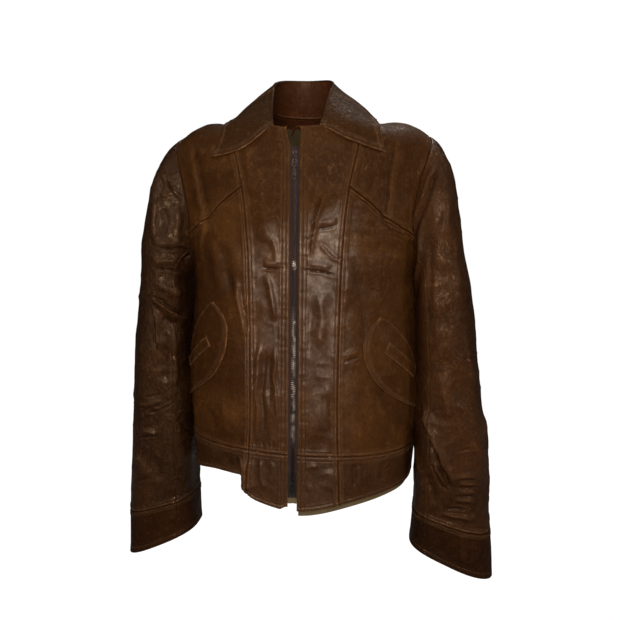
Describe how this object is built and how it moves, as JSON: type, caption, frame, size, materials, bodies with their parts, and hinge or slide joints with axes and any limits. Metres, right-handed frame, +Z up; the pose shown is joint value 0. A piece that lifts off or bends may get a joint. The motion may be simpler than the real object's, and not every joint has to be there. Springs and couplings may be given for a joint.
{
  "type": "zip-front leather jacket",
  "caption": "Waist-length brown leather jacket with a pointed collar, metal front zip, angled yokes, slanted pockets, stitched waistband and plain cuffs.",
  "frame": {"origin": "centre of the flat bearing face under the hang loop at the back neck, where a hook carries the jacket", "axes": "+Z up, -Y is the jacket's front, +X is the wearer's left"},
  "size_m": [0.594, 0.2759, 0.7743],
  "materials": {
    "shell_leather": "glazed brown cowhide, worn, semi-gloss",
    "trim_leather": "same hide, pieces that lie on or inside the shell",
    "lining_fabric": "olive-khaki satin lining",
    "tape_fabric": "woven mauve-brown zip tape",
    "zip_metal": "tarnished metal teeth and stops",
    "slider_metal": "tarnished cast slider and tab",
    "box_metal": "blackened box and pin"
  },
  "bodies": {
    "jacket_body": {"left_centre_front": "shell_leather", "left_side_front": "shell_leather", "left_front_yoke": "shell_leather", "left_back_side": "shell_leather", "left_waistband_front": "shell_leather", "left_waistband_side": "shell_leather", "collar_left_leaf": "shell_leather", "left_pocket_patch": "trim_leather", "left_pocket_welt": "trim_leather", "left_front_facing": "trim_leather", "left_front_lining": "lining_fabric", "left_pocket_bag": "lining_fabric", "left_zip_tape": "tape_fabric", "left_zip_teeth": "zip_metal", "left_top_stop": "zip_metal", "right_centre_front": "shell_leather", "right_side_front": "shell_leather", "right_front_yoke": "shell_leather", "right_back_side": "shell_leather", "right_waistband_front": "shell_leather", "right_waistband_side": "shell_leather", "collar_right_leaf": "shell_leather", "right_pocket_patch": "trim_leather", "right_pocket_welt": "trim_leather", "right_front_facing": "trim_leather", "right_front_lining": "lining_fabric", "right_pocket_bag": "lining_fabric", "right_zip_tape": "tape_fabric", "right_zip_teeth": "zip_metal", "right_top_stop": "zip_metal", "back_centre": "shell_leather", "back_yoke": "shell_leather", "waistband_back": "shell_leather", "collar_back_leaf": "shell_leather", "undercollar": "trim_leather", "collar_stand": "trim_leather", "back_neck_facing": "trim_leather", "hang_loop": "trim_leather", "back_lining": "lining_fabric", "zip_insertion_pin": "box_metal", "zip_retaining_box": "box_metal"},
    "zip_slider": {"zip_slider_body": "slider_metal"},
    "pull_tab": {"zip_pull_tab": "slider_metal"},
    "left_sleeve": {"left_top_sleeve": "shell_leather", "left_under_sleeve": "shell_leather", "left_cuff": "shell_leather", "left_sleeve_lining": "lining_fabric"},
    "right_sleeve": {"right_top_sleeve": "shell_leather", "right_under_sleeve": "shell_leather", "right_cuff": "shell_leather", "right_sleeve_lining": "lining_fabric"}
  },
  "joints": [
    {"name": "zip_slide", "type": "slide", "parent": "jacket_body", "child": "zip_slider", "axis": [0, -0.0629, -0.998], "range_m": [0, 0.46]},
    {"name": "pull_tab_swing", "type": "hinge", "parent": "zip_slider", "child": "pull_tab", "pos_m": [0, -0.1549, -0.06136], "axis": [-1, 0, 0], "range_deg": [0, 160]},
    {"name": "left_sleeve_raise", "type": "hinge", "parent": "jacket_body", "child": "left_sleeve", "pos_m": [0.19225, -0.046, -0.02006], "axis": [0, -1, 0], "range_deg": [0, 45]},
    {"name": "right_sleeve_raise", "type": "hinge", "parent": "jacket_body", "child": "right_sleeve", "pos_m": [-0.19225, -0.046, -0.02006], "axis": [0, 1, 0], "range_deg": [0, 45]}
  ]
}
